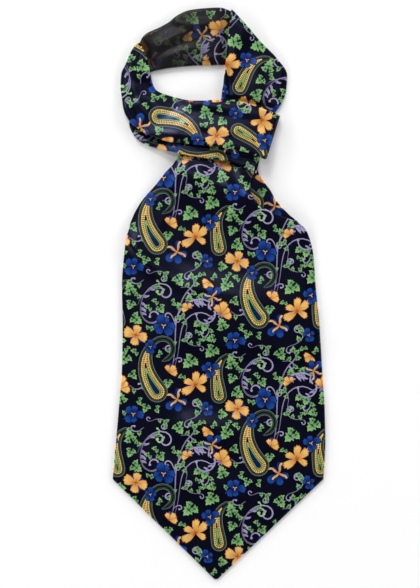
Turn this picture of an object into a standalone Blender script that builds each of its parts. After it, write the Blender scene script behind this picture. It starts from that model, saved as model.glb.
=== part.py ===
"""Silk cravat, crossed at the throat and laid flat, front up.

Each stretch of cloth that shows is one closed wall lofted through sections.
The tables give the outline of each stretch in millimetres, seen from above.
"""

import math
from collections import namedtuple

import bpy

MM = 0.001

# Driving dimensions, in millimetres
POINT_Y = -217.0        # the point of the blade
POINT_X = -2.0
CORNER_Y = -141.0       # where the blade's sides turn into its point
SEAM = 0.3              # clear space between stretches that touch
BLADE_WALL = 1.4        # two layers of silk and the interlining
NECK_WALL = 2.0         # the blade where it is gathered under the knot
BACK_WALL = 1.4         # the hidden second blade
BAND_WALL = 2.6         # the pleated band, several layers thick
ROLL_WALL = 2.2         # the lower pleat of the band
BACK_INSET = 9.0        # the front blade drops to the table over this width
POINT_WIDTH = 2.4       # the blunt tip of a turned point
BACK_POINT_Y = POINT_Y + 1.5 * BACK_INSET

# Heights of the undersides, built up from the table
ON_TABLE = 0.0
ON_BACK_BLADE = BACK_WALL + SEAM
ON_NECKBAND = BAND_WALL + SEAM
ON_BLADE_NECK = ON_BACK_BLADE + NECK_WALL + SEAM
ON_ROLL = ON_BLADE_NECK + ROLL_WALL + SEAM
ON_LOW_ROLL = ROLL_WALL + SEAM

Section = namedtuple("Section", "x1 y1 x2 y2 lift1 lift2 wall")
Row = namedtuple("Row", "y left right right_lift wall")
Fold = namedtuple("Fold", "x1 y1 x2 y2 bow left right height")

# Behind the neck, left to right: outer edge, inner edge
NECK_BACK = [
    Section(-60.5, 188.5, -55.5, 166.5, ON_TABLE, ON_TABLE, BAND_WALL),
    Section(-58.5, 193.5, -50.5, 168.5, ON_TABLE, ON_TABLE, BAND_WALL),
    Section(-55.5, 197.0, -44.0, 170.0, ON_TABLE, ON_TABLE, BAND_WALL),
    Section(-46.0, 201.5, -34.0, 171.5, ON_TABLE, ON_TABLE, BAND_WALL),
    Section(-38.5, 205.5, -24.0, 172.5, ON_TABLE, ON_TABLE, BAND_WALL),
    Section(-31.5, 211.0, -15.5, 173.0, ON_TABLE, ON_TABLE, BAND_WALL),
    Section(-22.5, 215.0, -8.0, 173.0, ON_TABLE, ON_TABLE, BAND_WALL),
    Section(-10.5, 216.5, -1.5, 173.5, ON_TABLE, ON_TABLE, BAND_WALL),
    Section(1.0, 216.5, 4.5, 173.5, ON_TABLE, ON_TABLE, BAND_WALL),
    Section(8.5, 213.0, 8.0, 174.5, ON_TABLE, ON_TABLE, BAND_WALL),
]

# The right arm, from its fold at the top down under the crossing: inner edge, outer edge
NECK_RIGHT = [
    Section(5.0, 173.0, 9.5, 216.0, ON_NECKBAND, ON_NECKBAND, BAND_WALL),
    Section(5.0, 169.0, 20.0, 204.5, ON_NECKBAND, ON_NECKBAND, BAND_WALL),
    Section(4.0, 164.5, 32.0, 191.0, 0.8, ON_TABLE, BAND_WALL),
    Section(3.5, 159.0, 45.0, 177.5, ON_TABLE, ON_TABLE, BAND_WALL),
    Section(2.5, 154.0, 52.0, 166.0, ON_TABLE, ON_TABLE, BAND_WALL),
    Section(2.0, 148.5, 51.0, 153.0, ON_TABLE, ON_TABLE, BAND_WALL),
    Section(0.5, 142.5, 47.5, 144.0, ON_TABLE, ON_TABLE, BAND_WALL),
    Section(-2.5, 135.0, 42.0, 136.0, ON_TABLE, ON_TABLE, BAND_WALL),
    Section(-7.5, 122.3, 33.0, 122.3, ON_TABLE, ON_TABLE, BAND_WALL),
]

# The left arm and the band that crosses the throat: upper edge, lower edge
FRONT_WRAP = [
    Section(-60.0, 190.0, -63.0, 189.0, ON_NECKBAND, 1.5, BAND_WALL),
    Section(-56.0, 182.5, -67.5, 182.0, ON_NECKBAND, ON_TABLE, BAND_WALL),
    Section(-53.5, 175.0, -70.5, 174.5, ON_NECKBAND, ON_TABLE, BAND_WALL),
    Section(-52.0, 168.0, -74.0, 166.5, ON_NECKBAND, ON_TABLE, BAND_WALL),
    Section(-50.5, 160.5, -74.5, 157.5, ON_TABLE, ON_TABLE, BAND_WALL),
    Section(-47.5, 154.5, -73.5, 147.5, ON_TABLE, ON_TABLE, BAND_WALL),
    Section(-40.0, 151.0, -72.0, 139.0, ON_TABLE, ON_LOW_ROLL, BAND_WALL),
    Section(-31.0, 148.5, -68.0, 131.0, ON_TABLE, ON_LOW_ROLL, BAND_WALL),
    Section(-22.0, 146.5, -61.5, 125.0, ON_TABLE, ON_LOW_ROLL, BAND_WALL),
    Section(-12.5, 146.0, -50.5, 119.0, ON_NECKBAND, 4.0, BAND_WALL),
    Section(-4.5, 146.5, -36.5, 114.5, ON_NECKBAND, ON_ROLL, BAND_WALL),
    Section(5.0, 146.0, -18.0, 112.5, ON_NECKBAND, ON_ROLL, BAND_WALL),
    Section(14.5, 145.0, 1.0, 110.5, ON_NECKBAND, ON_ROLL, BAND_WALL),
    Section(25.5, 142.5, 17.5, 107.5, ON_NECKBAND, ON_ROLL, BAND_WALL),
    Section(36.0, 139.0, 28.5, 104.0, ON_NECKBAND, ON_ROLL, BAND_WALL),
    Section(44.0, 136.0, 34.5, 101.5, ON_NECKBAND, ON_ROLL, BAND_WALL),
    Section(47.0, 135.0, 36.5, 101.0, ON_TABLE, ON_TABLE, 4.0),
]

# The pleat below the crossing band, left to right: upper edge, lower edge
WRAP_ROLL = [
    Section(-63.0, 138.5, -66.5, 135.0, ON_TABLE, ON_TABLE, 1.0),
    Section(-62.5, 134.5, -68.0, 129.0, ON_TABLE, ON_TABLE, 1.8),
    Section(-59.5, 130.5, -65.0, 121.0, ON_TABLE, ON_TABLE, ROLL_WALL),
    Section(-54.5, 127.0, -60.0, 115.5, ON_TABLE, ON_TABLE, ROLL_WALL),
    Section(-46.5, 123.5, -51.5, 111.5, 0.6, 0.3, ROLL_WALL),
    Section(-37.5, 120.5, -42.5, 109.0, 2.4, 2.0, ROLL_WALL),
    Section(-27.5, 118.0, -32.5, 106.5, ON_BLADE_NECK, ON_BLADE_NECK, ROLL_WALL),
    Section(-17.0, 117.0, -22.0, 104.5, ON_BLADE_NECK, ON_BLADE_NECK, ROLL_WALL),
    Section(-6.0, 116.0, -10.5, 102.5, ON_BLADE_NECK, ON_BLADE_NECK, ROLL_WALL),
    Section(5.5, 114.5, 0.0, 101.0, ON_BLADE_NECK, ON_BLADE_NECK, ROLL_WALL),
    Section(16.0, 112.0, 9.5, 99.5, ON_BLADE_NECK, ON_BLADE_NECK, ROLL_WALL),
    Section(24.5, 109.0, 17.5, 96.0, ON_BLADE_NECK, ON_BLADE_NECK, ROLL_WALL),
    Section(32.0, 105.0, 28.5, 91.0, ON_BLADE_NECK, ON_BLADE_NECK, ROLL_WALL),
]

# The pleat that shows beside the blade's neck: inner edge, outer edge
SIDE_PLEAT = [
    Section(21.5, 97.0, 29.0, 95.5, ON_TABLE, ON_TABLE, BACK_WALL),
    Section(20.5, 90.5, 31.0, 90.0, ON_TABLE, ON_TABLE, BACK_WALL),
    Section(19.0, 84.0, 35.0, 84.0, ON_TABLE, ON_TABLE, BACK_WALL),
    Section(18.5, 78.0, 39.5, 78.0, ON_TABLE, ON_TABLE, BACK_WALL),
    Section(20.5, 71.5, 43.0, 71.5, ON_TABLE, ON_TABLE, BACK_WALL),
    Section(25.5, 65.5, 48.0, 65.5, ON_TABLE, ON_TABLE, BACK_WALL),
    Section(33.0, 59.5, 54.0, 59.5, ON_TABLE, ON_TABLE, BACK_WALL),
    Section(43.5, 54.5, 60.0, 54.5, ON_TABLE, ON_TABLE, BACK_WALL),
    Section(55.0, 49.0, 63.0, 51.0, ON_TABLE, ON_TABLE, 1.0),
]

# The front blade from the knot down to its corners
FRONT_BLADE = [
    Row(122.0, -9.5, 33.0, ON_BACK_BLADE, NECK_WALL),
    Row(113.0, -20.5, 32.0, ON_BACK_BLADE, NECK_WALL),
    Row(105.0, -30.0, 30.0, ON_BACK_BLADE, NECK_WALL),
    Row(97.5, -35.0, 28.0, ON_BACK_BLADE, NECK_WALL),
    Row(92.5, -40.0, 27.0, ON_BACK_BLADE, NECK_WALL),
    Row(83.0, -47.5, 24.0, ON_BACK_BLADE, 1.9),
    Row(78.5, -51.5, 24.0, ON_BACK_BLADE, 1.8),
    Row(74.0, -55.5, 25.5, ON_BACK_BLADE, 1.7),
    Row(69.5, -59.0, 28.5, ON_BACK_BLADE, 1.6),
    Row(65.5, -61.5, 33.0, ON_BACK_BLADE, 1.5),
    Row(61.0, -64.0, 41.5, ON_BACK_BLADE, BLADE_WALL),
    Row(57.5, -65.5, 50.5, ON_BACK_BLADE, BLADE_WALL),
    Row(54.0, -67.0, 59.5, ON_BACK_BLADE, BLADE_WALL),
    Row(49.5, -68.0, 65.5, ON_BACK_BLADE, BLADE_WALL),
    Row(44.5, -69.5, 68.0, 1.2, BLADE_WALL),
    Row(37.0, -71.0, 70.5, 0.3, BLADE_WALL),
    Row(28.5, -72.0, 72.0, ON_TABLE, BLADE_WALL),
    Row(7.0, -73.5, 73.5, ON_TABLE, BLADE_WALL),
    Row(-25.0, -73.0, 76.5, ON_TABLE, BLADE_WALL),
    Row(-56.5, -73.5, 78.5, ON_TABLE, BLADE_WALL),
    Row(-88.5, -76.0, 80.5, ON_TABLE, BLADE_WALL),
    Row(-111.5, -78.0, 81.0, ON_TABLE, BLADE_WALL),
    Row(CORNER_Y, -80.5, 79.5, ON_TABLE, BLADE_WALL),
]

# The second blade, hidden under the first
BACK_BLADE = [
    Row(118.0, -1.0, 22.0, ON_TABLE, BACK_WALL),
    Row(105.0, -14.0, 18.0, ON_TABLE, BACK_WALL),
    Row(92.0, -28.0, 14.5, ON_TABLE, BACK_WALL),
    Row(80.0, -38.0, 13.0, ON_TABLE, BACK_WALL),
    Row(68.0, -48.0, 17.0, ON_TABLE, BACK_WALL),
    Row(58.0, -54.0, 28.0, ON_TABLE, BACK_WALL),
    Row(50.0, -57.0, 42.0, ON_TABLE, BACK_WALL),
    Row(40.0, -60.0, 55.0, ON_TABLE, BACK_WALL),
    Row(25.0, -62.0, 62.0, ON_TABLE, BACK_WALL),
    Row(0.0, -63.5, 64.0, ON_TABLE, BACK_WALL),
    Row(-70.0, -65.0, 69.0, ON_TABLE, BACK_WALL),
    Row(-110.0, -68.0, 71.0, ON_TABLE, BACK_WALL),
    Row(-136.0, -70.5, 70.0, ON_TABLE, BACK_WALL),
]

# Soft ridges of the cloth: start, end, sideways bow, half width to the left and right, height
NECK_BACK_FOLDS = [
    Fold(-48.0, 185.5, -14.0, 200.0, 3.0, 5.0, 5.0, 1.5),
    Fold(-44.0, 177.0, -1.0, 186.0, 4.0, 3.0, 6.0, 1.2),
    Fold(-34.0, 207.0, 4.0, 207.0, -3.0, 4.0, 4.0, 1.3),
    Fold(-20.0, 177.0, 4.0, 178.5, 1.0, 3.0, 3.0, 0.6),
]
NECK_RIGHT_FOLDS = [
    Fold(9.0, 209.0, 41.0, 172.0, 2.0, 3.0, 6.0, 0.9),
    Fold(8.0, 176.0, 14.0, 146.0, 2.0, 4.0, 3.0, 0.8),
    Fold(30.0, 178.0, 33.0, 146.0, -3.0, 5.0, 5.0, 0.6),
]
FRONT_WRAP_FOLDS = [
    Fold(-62.0, 181.0, -24.0, 139.0, -9.0, 3.0, 5.0, 1.1),
    Fold(-66.0, 160.0, -40.0, 127.0, -5.0, 3.5, 3.5, 0.9),
    Fold(-34.0, 144.0, 44.0, 130.0, 3.0, 3.0, 4.0, 1.0),
    Fold(-30.0, 128.0, 38.0, 114.0, 3.0, 5.0, 3.0, 1.0),
    Fold(-52.0, 122.0, 34.0, 105.0, 3.0, 2.6, 2.6, 0.8),
]
WRAP_ROLL_FOLDS = [
    Fold(-60.0, 118.0, 2.0, 103.5, -3.0, 2.6, 2.6, 0.8),
    Fold(-6.0, 104.0, 28.0, 94.5, -1.0, 2.6, 2.0, 0.9),
]
FRONT_BLADE_FOLDS = [
    Fold(-27.0, 100.0, -30.0, 66.0, -3.0, 9.0, 2.0, 1.5),
    Fold(-36.0, 89.0, -58.0, 30.0, 5.0, 5.0, 3.0, 1.1),
    Fold(-13.0, 97.0, -14.0, 30.0, 2.0, 3.0, 5.0, 1.0),
    Fold(4.0, 94.0, 14.0, 18.0, 3.0, 5.0, 3.0, 1.2),
    Fold(15.0, 92.0, 27.0, 54.0, 3.0, 2.4, 5.0, 1.3),
    Fold(28.0, 60.0, 50.0, 0.0, -3.0, 5.0, 8.0, 0.8),
    Fold(-48.0, -6.0, -40.0, -120.0, 6.0, 9.0, 7.0, 0.5),
    Fold(36.0, -20.0, 44.0, -130.0, -6.0, 8.0, 11.0, 0.5),
]
SIDE_PLEAT_FOLDS = [
    Fold(28.0, 92.0, 50.0, 60.0, -5.0, 3.0, 3.0, 0.5),
]

# Edge of a wall, from its underside to its top: inset and height, both as shares of the wall
TURNED_HEM = [(0.35, 0.0), (0.0, 0.3), (0.0, 0.7), (0.35, 1.0)]
TWO_LAYERS = [(0.3, 0.0), (0.0, 0.14), (0.0, 0.38), (0.22, 0.5), (0.0, 0.62), (0.0, 0.86), (0.3, 1.0)]


def smoothstep(value):
    value = min(1.0, max(0.0, value))
    return value * value * (3.0 - 2.0 * value)


def slopes(places, values):
    """Slopes of a curve that goes through the values and never swings past them."""
    steps = [(values[i + 1] - values[i]) / (places[i + 1] - places[i]) for i in range(len(values) - 1)]
    inner = []
    for before, after in zip(steps, steps[1:]):
        inner.append(0.0 if before * after <= 0.0 else 2.0 * before * after / (before + after))
    return [steps[0]] + inner + [steps[-1]]


def curve_value(places, values, rates, place):
    last = len(places) - 2
    index = next((i for i in range(last + 1) if place <= places[i + 1]), last)
    span = places[index + 1] - places[index]
    t = (place - places[index]) / span
    start = values[index] * (1 + 2 * t) * (1 - t) ** 2 + values[index + 1] * t * t * (3 - 2 * t)
    return start + span * (rates[index] * t * (1 - t) ** 2 - rates[index + 1] * t * t * (1 - t))


def resampled(table, places, count):
    """The table's rows, as `count` rows at even steps of `places`, on smooth curves."""
    columns = [[row[i] for row in table] for i in range(len(table[0]))]
    rates = [slopes(places, column) for column in columns]
    rows = []
    for step in range(count):
        place = places[0] + (places[-1] - places[0]) * step / (count - 1)
        rows.append(type(table[0])(*(curve_value(places, c, r, place) for c, r in zip(columns, rates))))
    return rows


def along_band(table):
    """Distance along a band's middle line to each of its sections."""
    places = [0.0]
    for a, b in zip(table, table[1:]):
        step = math.hypot(b.x1 + b.x2 - a.x1 - a.x2, b.y1 + b.y2 - a.y1 - a.y2) / 2
        places.append(places[-1] + step)
    return places


def fold_height(x, y, folds):
    """Height of the soft ridges above the plain cloth at one place."""
    height = 0.0
    for fold in folds:
        run_x, run_y = fold.x2 - fold.x1, fold.y2 - fold.y1
        length = math.hypot(run_x, run_y)
        along = ((x - fold.x1) * run_x + (y - fold.y1) * run_y) / length ** 2
        if not -0.1 < along < 1.1:
            continue
        aside = ((y - fold.y1) * run_x - (x - fold.x1) * run_y) / length
        aside -= fold.bow * 4 * along * (1 - along)
        fade = smoothstep((along + 0.1) / 0.25) * smoothstep((1.1 - along) / 0.6)
        reach = fold.left if aside > 0 else fold.right
        height += fold.height * fade * math.exp(-(aside / reach) ** 2)
    return height


def wall_ring(x1, y1, x2, y2, underside, wall, folds, edge, columns, hollow):
    """Closed ring of one section: underside, far edge, top, near edge."""
    width = math.hypot(x2 - x1, y2 - y1)
    inset = edge[0][0] * wall / width

    def point(across, share):
        x = x1 + (x2 - x1) * across
        y = y1 + (y2 - y1) * across
        ridge = fold_height(x, y, folds)
        below = underside(across) + (ridge if hollow else 0.0)
        return x, y, below + share * (wall if hollow else wall + ridge)

    inner = [inset + (1 - 2 * inset) * i / (columns - 1) for i in range(1, columns - 1)]
    ring = [point(across, 0.0) for across in inner]
    ring += [point(1.0 - depth * wall / width, share) for depth, share in edge]
    ring += [point(across, 1.0) for across in reversed(inner)]
    ring += [point(depth * wall / width, share) for depth, share in reversed(edge)]
    return ring


def band_rings(table, folds, count, columns):
    """Rings of a band: its underside steps from one edge's height to the other's."""
    rings = []
    for row in resampled(table, along_band(table), count):
        def underside(across, row=row):
            return row.lift1 + (row.lift2 - row.lift1) * smoothstep((across - 0.3) / 0.4)
        rings.append(wall_ring(
            row.x1, row.y1, row.x2, row.y2, underside, row.wall, folds, TWO_LAYERS, columns, False))
    return rings


def blade_rows(table, point_y, side_count, point_count):
    """Rows of a blade: smooth down its sides, then straight to the point."""
    rows = resampled(table, [-row.y for row in table], side_count)
    last = rows[-1]
    for step in range(1, point_count + 1):
        share = step / point_count
        half = POINT_WIDTH / 2
        rows.append(Row(
            last.y + (point_y - last.y) * share,
            last.left + (POINT_X - half - last.left) * share,
            last.right + (POINT_X + half - last.right) * share,
            last.right_lift,
            last.wall))
    return rows


def blade_rings(rows, core_lift, folds, columns):
    """Rings of a blade: its hems reach the table, and its middle lies on what is under it."""
    rings = []
    for index, row in enumerate(rows):
        before = rows[max(0, index - 1)]
        after = rows[min(len(rows) - 1, index + 1)]
        drop = before.y - after.y
        left_lean = drop / math.hypot(drop, after.left - before.left)
        right_lean = drop / math.hypot(drop, after.right - before.right)
        width = row.right - row.left

        def underside(across, row=row, width=width, left_lean=left_lean, right_lean=right_lean):
            from_left = across * width * left_lean
            from_right = (1 - across) * width * right_lean
            left = core_lift * smoothstep(from_left / BACK_INSET)
            right = row.right_lift + (core_lift - row.right_lift) * smoothstep(from_right / BACK_INSET)
            return min(left, right)

        rings.append(wall_ring(
            row.left, row.y, row.right, row.y, underside, row.wall, folds, TURNED_HEM, columns, True))
    return rings


def silk(name, colour, roughness):
    """Printed silk, as one plain colour."""
    material = bpy.data.materials.new(name)
    material.use_nodes = True
    shader = material.node_tree.nodes["Principled BSDF"]
    shader.inputs["Base Color"].default_value = (*colour, 1.0)
    shader.inputs["Roughness"].default_value = roughness
    shader.inputs["Metallic"].default_value = 0.0
    material.diffuse_color = (*colour, 1.0)
    return material


def loft(name, rings, material, group):
    """One closed wall through the rings, with both ends capped."""
    count = len(rings[0])
    points = [[coordinate * MM for coordinate in point] for ring in rings for point in ring]
    faces = [list(reversed(range(count))), [len(points) - count + i for i in range(count)]]
    for ring in range(len(rings) - 1):
        for i in range(count):
            here = ring * count + i
            beside = ring * count + (i + 1) % count
            faces.append([here, beside, beside + count, here + count])
    mesh = bpy.data.meshes.new(name)
    mesh.from_pydata(points, [], faces)
    mesh.update()
    wall = bpy.data.objects.new(name, mesh)
    wall.data.materials.append(material)
    group.objects.link(wall)
    bpy.context.view_layer.objects.active = wall
    wall.select_set(True)
    bpy.ops.object.mode_set(mode="EDIT")
    bpy.ops.mesh.select_all(action="SELECT")
    bpy.ops.mesh.normals_make_consistent(inside=False)
    bpy.ops.object.mode_set(mode="OBJECT")
    wall.select_set(False)
    return wall


def clear_scene():
    for item in list(bpy.data.objects):
        bpy.data.objects.remove(item, do_unlink=True)


clear_scene()
cravat = bpy.data.collections.new("silk_cravat")
bpy.context.scene.collection.children.link(cravat)

navy = (0.008, 0.008, 0.028)
navy_inside = (0.02, 0.02, 0.024)

# The blade's outer silk
loft(
    "front_blade",
    blade_rings(blade_rows(FRONT_BLADE, POINT_Y, 56, 12), ON_BACK_BLADE, FRONT_BLADE_FOLDS, 30),
    silk("front_blade_silk", navy, 0.42), cravat)

loft(
    "back_blade",
    blade_rings(blade_rows(BACK_BLADE, BACK_POINT_Y, 24, 5), ON_TABLE, [], 8),
    silk("back_blade_silk", navy, 0.42), cravat)

loft(
    "blade_side_pleat",
    band_rings(SIDE_PLEAT, SIDE_PLEAT_FOLDS, 16, 8),
    silk("side_pleat_silk", navy, 0.42), cravat)

loft(
    "neck_back",
    band_rings(NECK_BACK, NECK_BACK_FOLDS, 26, 16),
    silk("neck_back_silk", navy_inside, 0.34), cravat)

loft(
    "neck_right",
    band_rings(NECK_RIGHT, NECK_RIGHT_FOLDS, 24, 14),
    silk("neck_right_silk", navy, 0.42), cravat)

loft(
    "front_wrap",
    band_rings(FRONT_WRAP, FRONT_WRAP_FOLDS, 44, 16),
    silk("front_wrap_silk", navy, 0.42), cravat)

loft(
    "wrap_roll",
    band_rings(WRAP_ROLL, WRAP_ROLL_FOLDS, 30, 8),
    silk("wrap_roll_silk", navy, 0.42), cravat)
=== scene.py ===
import math
import random
from collections import namedtuple

import bpy
import numpy as np
from mathutils.geometry import delaunay_2d_cdt
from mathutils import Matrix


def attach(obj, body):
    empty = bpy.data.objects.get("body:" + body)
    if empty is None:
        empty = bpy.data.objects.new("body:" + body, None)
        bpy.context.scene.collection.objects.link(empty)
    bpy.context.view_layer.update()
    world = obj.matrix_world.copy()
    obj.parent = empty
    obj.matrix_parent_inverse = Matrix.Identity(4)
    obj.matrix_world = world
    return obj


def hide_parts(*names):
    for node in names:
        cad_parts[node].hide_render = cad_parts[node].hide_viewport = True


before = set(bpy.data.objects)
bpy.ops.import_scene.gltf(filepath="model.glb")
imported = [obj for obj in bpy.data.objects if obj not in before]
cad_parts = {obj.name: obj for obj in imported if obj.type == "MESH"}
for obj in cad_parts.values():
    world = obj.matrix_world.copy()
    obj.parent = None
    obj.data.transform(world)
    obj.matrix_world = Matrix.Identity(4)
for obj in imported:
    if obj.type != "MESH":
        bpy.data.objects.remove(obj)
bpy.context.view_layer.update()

# Table and camera
# The cravat lies on a white table and is seen straight down, through a long lens.
# The camera's middle is a little left of the cravat's, as the photograph has it.
MM = 0.001
LENS_MM = 100.0
SENSOR_MM = 36.0
VIEW_HEIGHT_MM = 446.9
VIEW_CENTRE = (-6.6, -0.4)

white_table = bpy.data.materials.new("white_table")
white_table.use_nodes = True
shader = white_table.node_tree.nodes["Principled BSDF"]
shader.inputs["Base Color"].default_value = (0.9, 0.9, 0.9, 1.0)
shader.inputs["Roughness"].default_value = 0.9
shader.inputs["Specular IOR Level"].default_value = 0.1
bpy.ops.mesh.primitive_plane_add(size=6.0, location=(0.0, 0.0, 0.0))
table = bpy.context.object
table.name = "table_top"
table.data.materials.append(white_table)

lens = bpy.data.cameras.new("overhead_camera")
lens.lens = LENS_MM
lens.sensor_fit = "VERTICAL"
lens.sensor_height = SENSOR_MM
lens.clip_start = 0.01
camera = bpy.data.objects.new("overhead_camera", lens)
camera.location = (
    VIEW_CENTRE[0] * MM,
    VIEW_CENTRE[1] * MM,
    VIEW_HEIGHT_MM * MM * LENS_MM / SENSOR_MM)
bpy.context.scene.collection.objects.link(camera)
bpy.context.scene.camera = camera

# Studio light
# A ring of low softboxes lights the cloth from all round, so its shadows make one soft halo on the table.
# It gives no gloss, which would hide the print from low down. The slanting key and the high glow do.
KEY_POWER = 43.0
KEY_PLACE = (-0.8, 2.6, 1.6)
KEY_SIZE = 0.9
GLOW_POWER = 3.8
GLOW_PLACE = (-0.25, 0.8, 1.4)
GLOW_SIZE = 0.5
RING_POWER = 6.6
RING_TOP_SHARE = 0.05
RING_COUNT = 12
RING_RADIUS = 1.6
RING_RISE = 0.44
RING_SIZE = 0.6
WORLD_LIGHT = 0.06


def softbox(name, place, size, power):
    """A round softbox that faces the middle of the table."""
    light = bpy.data.lights.new(name, "AREA")
    light.shape = "DISK"
    light.size = size
    light.energy = power
    lamp = bpy.data.objects.new(name, light)
    lamp.location = place
    x, y, z = place
    lamp.rotation_euler = (math.atan2(math.hypot(x, y), z), 0.0, math.atan2(x, -y))
    bpy.context.scene.collection.objects.link(lamp)
    return lamp


softbox("key_softbox", KEY_PLACE, KEY_SIZE, KEY_POWER)
softbox("glow_softbox", GLOW_PLACE, GLOW_SIZE, GLOW_POWER)
for step in range(RING_COUNT):
    angle = 2 * math.pi * step / RING_COUNT
    ring_lamp = softbox(
        "ring_softbox_%d" % step,
        (RING_RADIUS * math.cos(angle), RING_RADIUS * math.sin(angle), RING_RISE),
        RING_SIZE, RING_POWER * (1.0 + RING_TOP_SHARE * math.sin(angle)))
    ring_lamp.visible_glossy = False

world = bpy.data.worlds.new("studio_white")
world.use_nodes = True
world.node_tree.nodes["Background"].inputs["Color"].default_value = (1.0, 1.0, 1.0, 1.0)
world.node_tree.nodes["Background"].inputs["Strength"].default_value = WORLD_LIGHT
bpy.context.scene.world = world
bpy.context.scene.view_settings.view_transform = "Standard"

# Back blade
# The cravat's second wide end: printed silk twill, hemmed all round, hidden under the first.
# It is most of what shows from below. The print, the hem and the mesh of a cloth wall are made here.
POINT = (-2.0, -217.0)
POINT_WIDTH = 2.4
BLADE_WALL = 1.4
BACK_INSET = 9.0
BACK_POINT = (POINT[0], POINT[1] + 1.5 * BACK_INSET)
BACK_GRID = 6.0
BACK_EDGE_PRINT = 1.0
ON_TABLE = 0.0
OUTLINE_STEP = 1.8
HEM_INSET = 0.35
THINNEST_WALL = 0.5
BLADE_STATIONS = 200
SLANT_STEP = 0.5
OVERRUN = 0.1
FADE_IN = 0.25
FADE_OUT = 0.6

Row = namedtuple("Row", "y left right right_lift wall", defaults=(ON_TABLE, BLADE_WALL))
Fold = namedtuple("Fold", "x1 y1 x2 y2 bow left right height")
Form = namedtuple("Form", "outline base folds hollow layers")


def smoothstep(value):
    """Zero to one, with soft ends."""
    value = np.clip(value, 0.0, 1.0)
    return value * value * (3.0 - 2.0 * value)


def smooth_curve(places, values):
    """A curve through the values that never swings past them."""
    places, values = np.asarray(places, float), np.asarray(values, float)
    steps = np.diff(values) / np.diff(places)
    rates = np.zeros_like(values)
    rates[0], rates[-1] = steps[0], steps[-1]
    product = steps[:-1] * steps[1:]
    total = np.where(product > 0, steps[:-1] + steps[1:], 1.0)
    rates[1:-1] = np.where(product > 0, 2 * product / total, 0.0)

    def value(at):
        index = np.clip(np.searchsorted(places, at, side="right") - 1, 0, len(places) - 2)
        span = places[index + 1] - places[index]
        t = (at - places[index]) / span
        smooth = values[index] * (1 + 2 * t) * (1 - t) ** 2 + values[index + 1] * t * t * (3 - 2 * t)
        return smooth + span * (rates[index] * t * (1 - t) ** 2 - rates[index + 1] * t * t * (1 - t))

    return value


def fold_height(x, y, folds):
    """Height of the soft ridges above the plain cloth."""
    height = np.zeros_like(x)
    for fold in folds:
        run_x, run_y = fold.x2 - fold.x1, fold.y2 - fold.y1
        length = math.hypot(run_x, run_y)
        along_it = ((x - fold.x1) * run_x + (y - fold.y1) * run_y) / length ** 2
        aside = ((y - fold.y1) * run_x - (x - fold.x1) * run_y) / length
        aside = aside - fold.bow * 4 * along_it * (1 - along_it)
        fade = smoothstep((along_it + OVERRUN) / FADE_IN) * smoothstep((1 + OVERRUN - along_it) / FADE_OUT)
        reach = np.where(aside > 0, fold.left, fold.right)
        height += fold.height * fade * np.exp(-(aside / reach) ** 2)
    return height


def travelled(points):
    """Distance along a path at each of its points."""
    return np.concatenate([[0.0], np.cumsum(np.hypot(*np.diff(points, axis=0).T))])


def at_distance(at, travel, values):
    """Pairs of values, one for each point of a path, read off at a distance along it."""
    return np.stack([np.interp(at, travel, values[:, 0]), np.interp(at, travel, values[:, 1])], axis=-1)


def evenly(points):
    """The same path with points at even distances, its ends kept."""
    points = np.asarray(points, float)
    travel = travelled(points)
    count = max(2, int(round(travel[-1] / OUTLINE_STEP)) + 1)
    return at_distance(np.linspace(0.0, travel[-1], count), travel, points)


def blade_form(rows, point, core_lift, folds, hollow):
    """A blade: smooth sides from its rows, then straight to its point."""
    ys = [-row.y for row in rows]
    last = rows[-1]
    left_side, right_side, right_rise, thickness = (
        smooth_curve(ys, [row[i] for row in rows]) for i in range(1, len(Row._fields)))
    tip_left, tip_right = point[0] - POINT_WIDTH / 2, point[0] + POINT_WIDTH / 2

    def edges(y):
        share = np.clip((last.y - y) / (last.y - point[1]), 0.0, 1.0)
        down = np.clip(-y, ys[0], ys[-1])
        left = np.where(y < last.y, last.left + (tip_left - last.left) * share, left_side(down))
        right = np.where(y < last.y, last.right + (tip_right - last.right) * share, right_side(down))
        return left, right

    def base(x, y):
        left, right = edges(y)
        left_above, right_above = edges(y + SLANT_STEP)
        from_left = (x - left) / np.hypot(1.0, (left_above - left) / SLANT_STEP)
        from_right = (right - x) / np.hypot(1.0, (right_above - right) / SLANT_STEP)
        down = np.clip(-y, ys[0], ys[-1])
        rise = right_rise(down)
        low = core_lift * smoothstep(from_left / BACK_INSET)
        high = rise + (core_lift - rise) * smoothstep(from_right / BACK_INSET)
        return np.minimum(low, high), thickness(down)

    y = np.linspace(rows[0].y, last.y, BLADE_STATIONS)
    left, right = edges(y)
    down = evenly(np.stack([left, y], axis=1))
    up = evenly(np.stack([right, y], axis=1)[::-1])
    low_left = evenly([down[-1], (tip_left, point[1])])
    low_right = evenly([(tip_right, point[1]), up[0]])
    top = evenly([up[-1], down[0]])
    outline = np.concatenate([down[:-1], low_left, low_right[:-1], up[:-1], top[:-1]])
    return Form(outline, base, folds, hollow, 1)


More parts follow.
